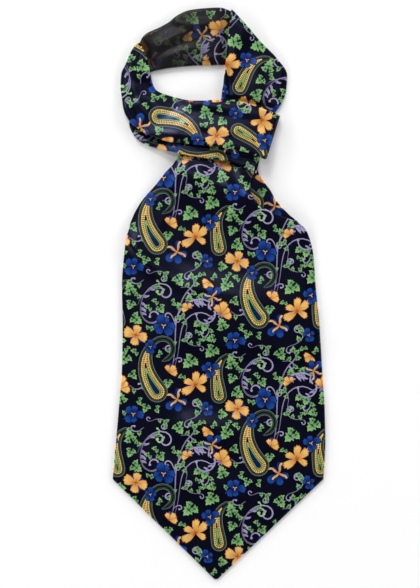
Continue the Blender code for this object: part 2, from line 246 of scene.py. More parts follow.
DYE_DEPTH = 0.9
FINEST_AREA = 2.0
Patch = namedtuple("Patch", "outline ink_start ink_end start end")
Ink = namedtuple("Ink", "red green blue")
GROUND = Ink(6, 6, 21)
LILAC = Ink(160, 152, 190)
LILAC_DEEP = Ink(112, 104, 146)
LEAF = Ink(148, 196, 124)
LEAF_DEEP = Ink(96, 148, 90)
LEAF_VEIN = Ink(26, 42, 44)
GOLD = Ink(234, 192, 110)
AMBER = Ink(214, 148, 70)
RUST = Ink(168, 84, 34)
STRAW = Ink(226, 194, 108)
BLUE_LIGHT = Ink(26, 72, 150)
BLUE = Ink(16, 48, 130)
BLUE_DEEP = Ink(8, 22, 84)
BLUE_NIGHT = Ink(6, 10, 50)
SAGE = Ink(112, 118, 116)
SAGE_DEEP = Ink(48, 80, 50)
UMBER = Ink(62, 38, 26)
Notch = namedtuple("Notch", "along out")
IVY = [Notch(*row) for row in (
    (0.04, 0.06), (0.02, 0.34), (-0.08, 0.5), (0.18, 0.5), (0.25, 0.36), (0.42, 0.6), (0.5, 0.34),
    (0.72, 0.36), (0.75, 0.2))]
SMALL_IVY = [Notch(*row) for row in (
    (0.04, 0.08), (-0.04, 0.42), (0.2, 0.5), (0.3, 0.34), (0.56, 0.44), (0.64, 0.24))]


def path(x, y, heading, *legs):
    """A pen line; each leg gives its length and its turn, in degrees a millimetre, at start and end."""
    line = [(x, y)]
    angle = math.radians(heading)
    for length, turn_start, turn_end in legs:
        done = 0.0
        while done < length - 1e-6:
            rate = turn_start + (turn_end - turn_start) * done / length
            step = min(4.0, max(0.6, 20.0 / max(abs(rate), 1.0)), length - done)
            rate = turn_start + (turn_end - turn_start) * (done + step / 2) / length
            angle += math.radians(rate) * step / 2
            x += math.cos(angle) * step
            y += math.sin(angle) * step
            angle += math.radians(rate) * step / 2
            done += step
            line.append((x, y))
    return np.array(line)


def toward(degrees):
    """A step of length one at a heading."""
    return np.array([math.cos(math.radians(degrees)), math.sin(math.radians(degrees))])


def unit(vectors, least=1e-9):
    """The same directions at length one; the least length keeps short ones in bounds."""
    return vectors / np.maximum(np.hypot(vectors[:, 0], vectors[:, 1]), least)[:, None]


def heading_of(line, index):
    a, b = line[max(0, index - 1)], line[min(len(line) - 1, index + 1)]
    return math.degrees(math.atan2(b[1] - a[1], b[0] - a[0]))


def normals_of(line):
    run = unit(np.gradient(line, axis=0))
    return np.stack([-run[:, 1], run[:, 0]], axis=1)


def stroke(line, widths, ink_start, ink_end):
    """A painted stroke along a line, with its widths at even shares of the line."""
    share = np.linspace(0.0, 1.0, len(line))
    half = np.interp(share, np.linspace(0.0, 1.0, len(widths)), widths) / 2
    side = normals_of(line) * np.maximum(half, 0.03)[:, None]
    outline = np.concatenate([line - side, (line + side)[::-1]])
    return Patch(outline, ink_start, ink_end, line[0], line[-1])


def spike(x, y, heading, length, width, bend, ink_start, ink_end):
    """A short pointed lobe that bends as it goes."""
    line = path(x, y, heading, (length, bend, bend))
    if len(line) < 4:
        line = np.array([line[0], (2 * line[0] + line[-1]) / 3, (line[0] + 2 * line[-1]) / 3, line[-1]])
    return stroke(line, (width * 0.45, width, width * 0.8, 0.1), ink_start, ink_end)


def bead(x, y, radius, ink, count=8):
    """A round dot with a few sides."""
    around = np.linspace(0.0, 2 * math.pi, count, endpoint=False)
    outline = np.stack([x + radius * np.cos(around), y + radius * np.sin(around)], axis=1)
    return Patch(outline, ink, ink, np.array([x - radius, y]), np.array([x + radius, y]))


def placed(patches, x, y, heading=0.0, size=1.0, flip=False):
    """The patches turned, scaled and moved, and mirrored if asked."""
    turn = math.radians(heading)
    mirror = np.array([1.0, -1.0 if flip else 1.0])
    spin = size * np.array([[math.cos(turn), math.sin(turn)], [-math.sin(turn), math.cos(turn)]])
    moved = []
    for patch in patches:
        outline = (patch.outline * mirror) @ spin + (x, y)
        moved.append(Patch(
            outline[::-1] if flip else outline, patch.ink_start, patch.ink_end,
            (patch.start * mirror) @ spin + (x, y), (patch.end * mirror) @ spin + (x, y)))
    return moved


def leaf(length, width, notches):
    """A jagged ivy leaf along +X with a dark midrib and side veins."""
    upper = [(length * notch.along, width * notch.out) for notch in notches]
    outline = [(x, -y) for x, y in upper] + [(length, 0.0)] + upper[::-1]
    root, tip = np.array([0.0, 0.0]), np.array([length, 0.0])
    vein = [(-0.7, -0.2), (length * 0.24, -0.22), (length * 0.36, -width * 0.38), (length * 0.38, -0.2)]
    vein += [(length * 0.88, 0.0)] + [(x, -y) for x, y in reversed(vein)]
    return [Patch(np.array(outline), LEAF_DEEP, LEAF, root, tip),
            Patch(np.array(vein), LEAF_VEIN, LEAF_VEIN, root, tip)]


def petal(length, width, teeth, ragged, bend):
    """Outline of a petal along +X: narrow at its root, widest far out, toothed round its end."""
    side = [(0.0, 0.25)]
    for share in (0.25, 0.5, 0.74):
        side.append((length * share, width / 2 * math.sin(math.pi / 2 * (share / 0.74) ** 0.9)))
    rim = []
    for i in range(2 * teeth + 1):
        angle = math.pi / 2 - math.pi * i / (2 * teeth)
        reach = 1.0 + 0.07 * math.sin(2.7 * i + length) if i % 2 else 1.0 - ragged
        out = length * (0.55 + reach * (0.19 + 0.26 * math.cos(angle)))
        rim.append((out, width / 2 * reach * math.sin(angle)))
    upper = side + rim[1:teeth + 1]
    lower = [(x, -y) for x, y in side] + [(x, y) for x, y in reversed(rim[teeth + 1:-1])]
    outline = np.array(lower + list(reversed(upper)))
    outline[:, 1] += bend * (outline[:, 0] / length) ** 2 * length
    return outline


def painted_petal(length, width, teeth, ragged, inks, bend):
    """A petal with a dark border, a light middle and veins; inks are border, root, tip, vein."""
    root, tip = np.array([length * 0.05, 0.0]), np.array([length * 0.85, 0.0])
    rim = petal(length, width, teeth, ragged, bend)
    patches = [Patch(rim, inks[0], inks[0], root, tip)]
    inner = petal(length * 0.91, width * 0.8, teeth, ragged, bend)
    patches.append(Patch(inner + (length * 0.02, 0.0), inks[1], inks[2], root, tip))
    for lean in (-15, 3, 17) if length > 7.0 else (2,):
        way = toward(lean) * length
        patches.append(stroke(np.array([way * 0.08, way * 0.58]), (0.4, 0.1), inks[3], inks[1]))
    return patches


def flower(headings, length, width, teeth, ragged, inks, heart, bend=0.0):
    """Painted petals at the given headings, round a small heart."""
    patches = []
    for rank, heading in enumerate(headings):
        size = 1.0 + 0.14 * math.sin(2.4 * rank + length)
        one = painted_petal(length, width, teeth, ragged, inks, bend if rank % 2 else -bend)
        patches += placed(one, 0.0, 0.0, heading, size)
    patches.append(bead(0.0, 0.0, length * 0.1, heart, 7))
    return patches


ORANGE_INKS = (AMBER, AMBER, GOLD, RUST)
DEEP_ORANGE_INKS = (RUST, AMBER, GOLD, RUST)
BLUE_INKS = (BLUE_NIGHT, BLUE_DEEP, BLUE_LIGHT, BLUE_NIGHT)
DARK_BLUE_INKS = (BLUE_NIGHT, BLUE_DEEP, BLUE, BLUE_NIGHT)


def cross_flower():
    """Four broad toothed orange petals, with blue slivers between them."""
    under = flower((30, 118, 212, 300), 6.4, 3.0, 2, 0.0, DARK_BLUE_INKS, BLUE)
    return under + flower((-12, 76, 164, 256), 9.2, 7.2, 4, 0.22, ORANGE_INKS, RUST, 0.08)


def lily():
    """Five long ragged orange petals that reach out to one side."""
    under = flower((20, 140), 6.2, 2.8, 2, 0.0, DARK_BLUE_INKS, BLUE)
    petals = flower((-62, -8, 52, 108, 178), 10.8, 5.6, 4, 0.22, ORANGE_INKS, RUST, 0.14)
    return under + petals


def half_flower():
    """A flower seen from its side: four orange petals over a small calyx."""
    petals = flower((18, 60, 100, 150), 9.4, 6.0, 4, 0.18, DEEP_ORANGE_INKS, RUST)
    calyx = [spike(0, 0, angle, 3.4, 1.2, 0, LILAC_DEEP, LILAC) for angle in (-150, -90, -35)]
    return petals + calyx


def small_half_flower():
    """The same seen smaller, with a blue petal behind it."""
    back = flower((40, 96), 6.6, 4.4, 2, 0.05, BLUE_INKS, BLUE_DEEP)
    return back + flower((10, 62, 128), 6.6, 4.8, 3, 0.18, DEEP_ORANGE_INKS, RUST)


def blue_flower(count, length, width):
    """Broad blue petals at uneven headings, round three amber points."""
    headings = [360 / count * i + 14 * math.sin(3 * i) for i in range(count)]
    petals = flower(headings, length, width, 3, 0.16, BLUE_INKS, BLUE_NIGHT, 0.08)
    heart = [spike(0, 0, 120 * i + 25, length * 0.24, length * 0.09, 0, AMBER, GOLD) for i in range(3)]
    return petals + heart


def iris():
    """Three blue falls and two standards, edged with wavy orange bands."""
    patches = flower((-100, -38, -160), 9.4, 6.2, 2, 0.05, BLUE_INKS, BLUE_DEEP)
    patches += flower((62, 118), 8.2, 4.4, 2, 0.05, DARK_BLUE_INKS, BLUE_DEEP)
    for heading, legs in ((34, ((4, 14, 8), (4, -18, -24))), (148, ((4, -12, -8), (4.5, 18, 26))),
                          (-66, ((4, 12, 6), (3.5, -20, -16))), (-128, ((4, -16, -8), (3, 20, 16)))):
        line = path(0.3, 0.3, heading, *legs)
        patches.append(stroke(line, (0.5, 1.7, 1.2, 1.5, 0.3), AMBER, GOLD))
        patches.append(stroke(line[:-1], (0.2, 0.3, 0.1), RUST, AMBER))
    return patches


def curl(x, y, heading, legs, width, inks=(LILAC_DEEP, LILAC), knob=1.0):
    """A scroll's arm that winds in on itself and ends in a knob."""
    line = path(x, y, heading, *legs)
    arm = stroke(line, (width * 0.5, width * 0.8, width, width * 0.85, width * 0.6), *inks)
    return [arm, bead(*line[-1], width * 0.85 * knob, inks[1])], line


def along(line, share):
    """Place and heading at a share of a line."""
    index = int(share * (len(line) - 1))
    return (*line[index], heading_of(line, index))


def leaves_along(line, one_leaf, spots):
    """The same leaf at several shares of a line, each with its own lean."""
    patches = []
    for share, lean in spots:
        x, y, run = along(line, share)
        patches += placed(one_leaf, x, y, run + lean)
    return patches


def plume(line, shares, side, length):
    """A feathered leaf: pointed lobes that lean forward from one side of a line."""
    patches = []
    for rank, share in enumerate(shares):
        x, y, run = along(line, share)
        size = length * (1.0 - 0.4 * abs(rank / max(1, len(shares) - 1) - 0.4))
        for lean, reach, bend in ((74, 1.0, -9), (50, 0.86, 5), (28, 0.62, 9)):
            lobe = (size * reach, size * 0.24, side * bend)
            patches.append(spike(x, y, run + side * lean, *lobe, LILAC, LILAC))
        patches.append(spike(x, y, run + side * 66, size * 0.6, 0.35, -side * 8, GROUND, GROUND))
    return patches


def scroll_c():
    """A heavy C scroll with a feathered leaf and a green curl inside it."""
    upper, back = curl(0, 0, 94, ((22, -2.2, -4.6), (26, -5.0, -21)), 1.2)
    lower, front = curl(0, 0, -86, ((15, 2.2, 6.2), (25, 6.2, 20)), 1.3, knob=0.9)
    green, _ = curl(4.4, 12.6, 56, ((6, -9, -9), (12, -12, -32)), 1.4, (LEAF_DEEP, LEAF), 1.1)
    green_twig, _ = curl(5.4, 13.2, 8, ((9, 10, 28),), 1.0, (LEAF_DEEP, LEAF), 1.1)
    feather = plume(front, (0.0, 0.07, 0.14), 1, 6.4)
    feather += plume(back, (0.06, 0.14), -1, 6.4)
    twin = path(-1.9, -3.0, 92, (26, -2.6, -4.8))
    feather.append(stroke(twin, (0.2, 0.6, 0.2), LILAC_DEEP, LILAC))
    line = stroke(front[: len(front) // 2], (0.2, 0.5, 0.2), GROUND, GROUND)
    return feather + green + green_twig + upper + lower + [line]


SMALL_LEAF = leaf(4.8, 4.0, SMALL_IVY)
TINY_LEAF = leaf(3.8, 3.2, SMALL_IVY)


def scroll_branch():
    """A long stem that arches over, with curls, plumes and green leaves on it."""
    main, stem = curl(0, 0, 66, ((34, 1.4, -0.6), (32, -2.4, -3.8), (37, -4.6, -9.5)), 1.15)
    twin_line = path(2.4, 1.0, 62, (30, 1.8, -1.4), (26, -2.9, -5.6), (8, 14, 34))
    outer_line = path(*along(stem, 0.36), (26, 0.4, -3.2), (12, 6, 26))
    patches = [stroke(twin_line, (0.3, 0.7, 0.8, 0.6, 0.8), LILAC_DEEP, LILAC)]
    patches.append(stroke(outer_line, (0.3, 0.9, 0.8, 0.7, 0.8), LILAC_DEEP, LILAC))
    patches.append(bead(*outer_line[-1], 0.9, LILAC))
    patches += curl(*along(stem, 0.26), ((13, 1.6, 4.0), (9, 12, 44)), 1.0)[0]
    patches += curl(*along(stem, 0.1), ((7, 12, 12), (10, 18, 42)), 1.1)[0]
    patches += curl(*along(stem, 0.05), ((7, -10, -14), (5, -30, -50)), 0.9)[0]
    patches += plume(stem, (0.44, 0.5, 0.56, 0.62), -1, 8.8)
    patches += plume(stem, (0.76, 0.82), -1, 6.4)
    for share, side, size in ((0.42, 66, 5.8), (0.48, 58, 6.4), (0.54, 52, 6.0), (0.61, 62, 5.4),
                              (0.86, 70, 6.8), (0.93, 78, 6.0)):
        patches += leaves_along(stem, leaf(size, size * 0.84, IVY), ((share, side),))
    return patches + leaves_along(outer_line, SMALL_LEAF, ((0.5, -60), (0.66, -60), (0.8, -60))) + main


def scroll_s():
    """A thin S curl with small leaves along it."""
    patches, stem = curl(0, 0, 10, ((17, 3.0, 8.0), (15, 10, 30)), 1.0)
    patches += curl(0, 0, 195, ((5, 10, 20), (6, 26, 44)), 0.9)[0]
    return patches + leaves_along(stem, SMALL_LEAF, ((0.1, 74), (0.24, 66), (0.38, 60), (0.2, -70)))


def comma():
    """A small hooked curl with a green edge."""
    patches, line = curl(0, 0, 80, ((9, -4, -16), (5, -24, -50)), 0.9)
    return patches + leaves_along(line, TINY_LEAF, ((0.1, 62), (0.45, 62)))


def paisley(half, length, bend, hook, border, fill):
    """A drop with a rung border and nested outlines that run on in a hooked tail."""
    spine = path(0.0, 0.0, 0.0, (length, *bend))
    stretches = [spine]
    for leg in hook:
        last = stretches[-1]
        stretches.append(path(*last[-1], heading_of(last, len(last) - 1), leg)[1:])
    whole = np.concatenate(stretches)
    aside = normals_of(whole)
    travel = travelled(whole)
    width = half * (1.0 - np.minimum(travel / length, 1.0) ** 1.5)

    def shape(grow, ink_start, ink_end, with_tail):
        taper = np.interp(travel, [0.0, length, travel[-1] - 5, travel[-1]], [1.0, 1.0, 0.8, 0.2])
        wide = width + grow * taper
        keep = wide > 0.15 if with_tail else (wide > 0.15) & (travel <= length)
        left = (whole + aside * wide[:, None])[keep]
        right = (whole - aside * wide[:, None])[keep]
        around = np.radians(np.linspace(90, 270, max(6, int(half + grow) + 5)))[1:-1]
        head = (half + grow) * np.stack([np.cos(around), np.sin(around)], axis=1)
        outline = np.concatenate([left[::-1], head, right])
        return Patch(outline, ink_start, ink_end, np.array([-half, 0.0]), spine[-1])

    patches = [shape(*nested) for nested in (
        (2.3, SAGE, SAGE, True),
        (1.8, GROUND, GROUND, True),
        (1.3, SAGE_DEEP, SAGE_DEEP, True),
        (0.7, GROUND, GROUND, True),
        (0.0, STRAW, GOLD, False),
        (-border * 0.52 + 0.16, UMBER, UMBER, False),
        (-border * 0.52 - 0.14, STRAW, GOLD, False),
        (-border, GROUND, GROUND, False),
        (-border - 0.4, LEAF_DEEP, LEAF, False),
        (-border - 1.1, GROUND, LEAF_VEIN, False),
        (-border - 1.5, *fill, False),
    ) if half + nested[0] > 0.5]
    for degrees in np.arange(94, 267, 106.0 / half):
        way = toward(degrees)
        rung = np.array([way * (half - 0.15), way * (half - border + 0.1)])
        patches.append(stroke(rung, (0.35, 0.6), UMBER, UMBER))
    for distance in np.arange(0.7, length * 0.86, 1.35):
        at, out = at_distance(distance, travel, whole), at_distance(distance, travel, aside)
        wide = np.interp(distance, travel, width)
        deep = min(border, wide * 0.92)
        if deep < 0.7:
            continue
        for up in (-1, 1):
            rung = np.array([at + up * out * (wide - 0.15), at + up * out * (wide - deep + 0.1)])
            patches.append(stroke(rung, (0.3, 0.5), UMBER, UMBER))
    return patches


BIG_HOOK = ((15, -4.6, -9.0), (19, -9.0, -3.4))
SLIM_HOOK = ((9, 7.0, 14.0),)
BIG_PAISLEY = paisley(5.7, 41.0, (-0.9, -3.2), BIG_HOOK, 2.7, (BLUE_DEEP, LEAF_VEIN))
SLIM_PAISLEY = paisley(3.6, 30.0, (-0.8, 4.6), SLIM_HOOK, 1.9, (LEAF_DEEP, LEAF_VEIN))
REPEAT_X = 77.0
REPEAT_Y = 112.0
Motif = namedtuple("Motif", "patches x y heading size flip", defaults=(1, False))
MOTIFS = [Motif(*row) for row in (
    (scroll_branch(), 33, 43, 6),
    (scroll_c(), 10, 93, -18),
    (scroll_s(), 46, 4, 0),
    (scroll_s(), 54, 60, 200, 0.8, True),
    (scroll_s(), 44, 71, 60, 0.8),
    (scroll_s(), 18, 3, 40, 0.75, True),
    (comma(), 1, 30, 30, 1.1, True),
    (comma(), 40, 104, -60, 1.1),
    (comma(), 26, 58, 60, 1, True),
    (comma(), 60, 76, -140, 1.1),
    (comma(), 12, 110, 150, 1.1),
    (comma(), 74, 60, 10),
    (BIG_PAISLEY, 22, 25, 128),
    (SLIM_PAISLEY, 69, 22, 98, 1, True),
    (small_half_flower(), 31, 40, -20),
    (small_half_flower(), 62, 108, 160, 0.9),
    (small_half_flower(), 46, 88, 200, 0.85, True),
    (blue_flower(6, 8.8, 6.8), 27, 75, 0),
    (blue_flower(5, 7.8, 6.2), 4, 8, 0),
    (blue_flower(5, 7.8, 6.2), 62, 42, 30, 0.9),
    (blue_flower(5, 5.4, 4.4), 60, 12, 30),
    (blue_flower(5, 5.4, 4.4), 17, 59, 10),
    (cross_flower(), 6, 68, 0),
    (lily(), 51, 30, 40),
    (half_flower(), 70, 84, -30),
    (iris(), 37, 19, 20, 1.05),
    (iris(), 64, 97, -150, 0.9),
)]
MOTIF_REACH = 150
LEAF_SEED = 11
SPRAYS = ((7.6, 6.2, 300), (6.4, 5.2, 400), (5.0, 4.2, 400), (4.2, 3.0, 500))


def leaf_spray(chance, size):
    """Ivy leaves that spread from one stalk, with dark ground between them."""
    start = chance.uniform(0, 360)
    lean = chance.uniform(62, 100)
    patches = []
    three, two = ((0.0, 1.1), (lean, 0.74), (-lean, 0.66)), ((0.0, 1.0), (lean, 0.8))
    for spread, share in three if size > 4.4 else two:
        length = size * share * chance.uniform(0.92, 1.1)
        one = placed(leaf(length, length * 0.86, IVY if length > 5.2 else SMALL_IVY), 0.7, 0.0)
        patches += placed(one, 0, 0, start + spread)
    return patches


def lattice(reach_x, reach_y):
    """Corners of the repeats around the middle one, each second column half a repeat up."""
    return [(i * REPEAT_X, j * REPEAT_Y + (REPEAT_Y / 2 if i % 2 else 0))
            for i in range(-reach_x, reach_x + 1) for j in range(-reach_y, reach_y + 1)]


def filled_repeat():
    """Every patch of one repeat, with leaf sprays in the room between its motifs."""
    chance = random.Random(LEAF_SEED)
    main = [patch for motif in MOTIFS for patch in placed(*motif)]
    shifts = lattice(1, 2)
    taken = np.concatenate([patch.outline + shift for patch in main for shift in shifts])
    middle = np.array([REPEAT_X / 2, REPEAT_Y / 2])
    taken = taken[(np.abs(taken - middle) < (REPEAT_X, REPEAT_Y)).all(axis=1)]
    leaves = []
    for size, room, tries in SPRAYS:
        for _ in range(tries):
            x, y = chance.uniform(0, REPEAT_X), chance.uniform(0, REPEAT_Y)
            if np.hypot(taken[:, 0] - x, taken[:, 1] - y).min() < room:
                continue
            spray = placed(leaf_spray(chance, size), x, y)
            leaves += spray
            fresh = np.concatenate([patch.outline for patch in spray])
            taken = np.concatenate([taken] + [fresh + shift for shift in shifts])
    return leaves + main


REPEAT = filled_repeat()


def print_over(outline, turn, shift_x, shift_y):
    """The print's patches that reach a piece, laid with one turn and shift from its middle."""
    low, high = outline.min(axis=0) - 1.0, outline.max(axis=0) + 1.0
    middle = (low + high) / 2
    far = np.hypot(*(high - low)) / 2 + MOTIF_REACH
    reach = int(far / REPEAT_X) + 2
    cos, sin = toward(turn)
    patches = []
    for x, y in lattice(reach, reach):
        x, y = x + shift_x, y + shift_y
        here = np.array([x * cos - y * sin, x * sin + y * cos])
        if np.hypot(*here) > far:
            continue
        for patch in placed(REPEAT, *(here + middle), turn):
            if (patch.outline.max(axis=0) > low).all() and (patch.outline.min(axis=0) < high).all():
                patches.append(patch)
    return patches


def signed_area(outline):
    """Area inside an outline, positive when it runs counter-clockwise."""
    x, y = outline.T
    return (x * np.roll(y, -1) - y * np.roll(x, -1)).sum() / 2


def broad(patches):
    """The patches without their finest lines, for an underside."""
    return [patch for patch in patches if abs(signed_area(patch.outline)) > FINEST_AREA]


def near_edge(patches, outline, distance):
    """Only the patches that come this near to a piece's edge."""

    def gap(patch):
        apart = patch.outline[:, None] - outline[None]
        return np.hypot(apart[..., 0], apart[..., 1]).min()

    return [patch for patch in patches if gap(patch) < distance]


def linear(ink):
    """An ink as linear light, at the depth that the silk takes it."""
    share = np.array(ink, float) / 255.0
    return DYE_DEPTH * np.where(share <= 0.04045, share / 12.92, ((share + 0.055) / 1.055) ** 2.4)


def offset_loop(loop, distance):
    """A closed loop, counter-clockwise, moved outwards along its own normals."""
    run = unit(np.roll(loop, -1, axis=0) - loop)
    out = np.stack([run[:, 1], -run[:, 0]], axis=1)
    both = unit(out + np.roll(out, 1, axis=0), 0.3)
    reach = np.clip(1.0 / np.maximum((both * out).sum(axis=1), 0.5), 1.0, 1.6)
    return loop + both * (reach * distance)[:, None]


SEEDS_ACROSS = (-1.2, -0.5, 0.0, 0.5, 1.2)
SEED_ROWS = 0.866
WELD = 1e-4


def grid_seeds(outline, spacing, folds):
    """Even points over a piece, with closer rows beside each fold."""
    low, high = outline.min(axis=0), outline.max(axis=0)
    seeds = []
    for rank, y in enumerate(np.arange(low[1], high[1], spacing * SEED_ROWS)):
        xs = np.arange(low[0] + (spacing / 2 if rank % 2 else 0), high[0], spacing)
        seeds.append(np.stack([xs, np.full_like(xs, y)], axis=1))
    for fold in folds:
        start, run = np.array([fold.x1, fold.y1]), np.array([fold.x2 - fold.x1, fold.y2 - fold.y1])
        length = np.hypot(*run)
        share = np.linspace(-OVERRUN, 1 + OVERRUN, max(6, int(length / OUTLINE_STEP)))[:, None]
        aside = np.array([-run[1], run[0]]) / length
        middle = start + share * run + aside * fold.bow * 4 * share * (1 - share)
        for place in SEEDS_ACROSS:
            seeds.append(middle + aside * place * (fold.left if place > 0 else fold.right))
    seeds = np.concatenate(seeds)
    return seeds[((seeds > low) & (seeds < high)).all(axis=1)]


def triangulate(outline, patches, seeds):
    """Points, triangles inside the outline, and the topmost patch that covers each."""
    points = [tuple(p) for p in outline]
    faces = [list(range(len(outline)))]
    for patch in patches:
        faces.append(list(range(len(points), len(points) + len(patch.outline))))
        points += [tuple(p) for p in patch.outline]
    points += [tuple(p) for p in seeds]
    found, _, triangles, _, _, sources = delaunay_2d_cdt(points, [], faces, 0, WELD, True)
    inside = [(t, max(s)) for t, s in zip(triangles, sources) if s and min(s) == 0]
    flat = np.array([tuple(p) for p in found])
    corners = np.array([t for t, _ in inside])
    owner = np.array([s for _, s in inside])
    used, index = np.unique(corners, return_inverse=True)
    return flat[used], index.reshape(corners.shape), owner


def border_of(corners, flat, start_at):
    """The outer loop's points in order from the one nearest a place, and the triangle beside each edge."""
    ends = np.concatenate([corners[:, [0, 1]], corners[:, [1, 2]], corners[:, [2, 0]]])
    beside = np.tile(np.arange(len(corners)), 3)
    known = set(map(tuple, ends.tolist()))
    following = {a: (b, t) for (a, b), t in zip(ends.tolist(), beside) if (b, a) not in known}
    start = min(following, key=lambda k: math.hypot(*(flat[k] - start_at)))
    loop, sides, at = [], [], start
    while not loop or at != start:
        step, side = following[at]
        loop.append(at)
        sides.append(side)
        at = step
    return np.array(loop), np.array(sides)


def inks_of(points, owner, patches):
    """Colour of each corner: its patch's two inks, mixed along the patch."""
    starts = np.array([(0.0, 0.0)] + [p.start for p in patches])
    ends = np.array([(1.0, 0.0)] + [p.end for p in patches])
    first = linear([GROUND] + [p.ink_start for p in patches])
    second = linear([GROUND] + [p.ink_end for p in patches])
    run = (ends - starts)[owner]
    share = ((points - starts[owner][:, None]) * run[:, None]).sum(axis=2) / (run * run).sum(axis=1)[:, None]
    share = np.clip(share, 0.0, 1.0)[..., None]
    return first[owner][:, None] * (1 - share) + second[owner][:, None] * share


def edge_inks(colours, corners, loop, sides):
    """The inks at both ends of each edge of the outer loop."""
    ends = []
    for at in (loop, np.roll(loop, -1)):
        corner = (corners[sides] == at[:, None]).argmax(axis=1)
        ends.append(colours[sides, corner])
    return ends


def edge_profile(layers):
    """The rounded edge of a wall, top to bottom: inset, height and tilt, as shares of the wall."""
    steps = []
    for layer in range(layers):
        for degrees in (45, 90, 135):
            angle = math.radians(degrees)
            height = 1.0 - (layer + 0.5 - 0.5 * math.cos(angle)) / layers
            steps.append((HEM_INSET * (1.0 - math.sin(angle)), height, math.cos(angle)))
    return steps


def stitched(upper, upper_travel, lower, lower_travel):
    """Triangles between two closed loops that run side by side, and the loop whose edge each takes."""
    triangles, kinds = [], []
    i = j = 0
    m, n = len(upper), len(lower)
    while i < m or j < n:
        next_upper = upper_travel[i + 1] if i < m else math.inf
        next_lower = lower_travel[j + 1] if j < n else math.inf
        a, b = upper[i % m], lower[j % n]
        if next_upper <= next_lower:
            triangles.append((a, b, upper[(i + 1) % m]))
            kinds.append((0, i))
            i += 1
        else:
            triangles.append((a, b, lower[(j + 1) % n]))
            kinds.append((1, j))
            j += 1
    return np.array(triangles), kinds


SLOPE_STEP = 0.2
RIM_TILT = 0.8
EDGE_ON_MAP = 0.45
MAP_MARGIN = 6.0


def cloth_mesh(name, points, normals, faces, inks, spots):
    """A mesh with the print's inks at its corners and its places on the flat map."""
    mesh = bpy.data.meshes.new(name)
    mesh.vertices.add(len(points))
    mesh.vertices.foreach_set("co", (points * MM).ravel())
    mesh.loops.add(faces.size)
    mesh.loops.foreach_set("vertex_index", faces.ravel().astype(np.int32))
    mesh.polygons.add(len(faces))
    mesh.polygons.foreach_set("loop_start", np.arange(0, faces.size, 3, dtype=np.int32))
    mesh.update(calc_edges=True)
    tint = mesh.color_attributes.new("print", "FLOAT_COLOR", "CORNER")
    tint.data.foreach_set("color", np.column_stack([inks, np.ones(len(inks))]).ravel())
    flat_map = mesh.uv_layers.new(name="OFBake")
    flat_map.data.foreach_set("uv", spots.ravel())
    mesh.polygons.foreach_set("use_smooth", np.ones(len(faces), bool))
    mesh.normals_split_custom_set_from_vertices(normals.tolist())
    return mesh


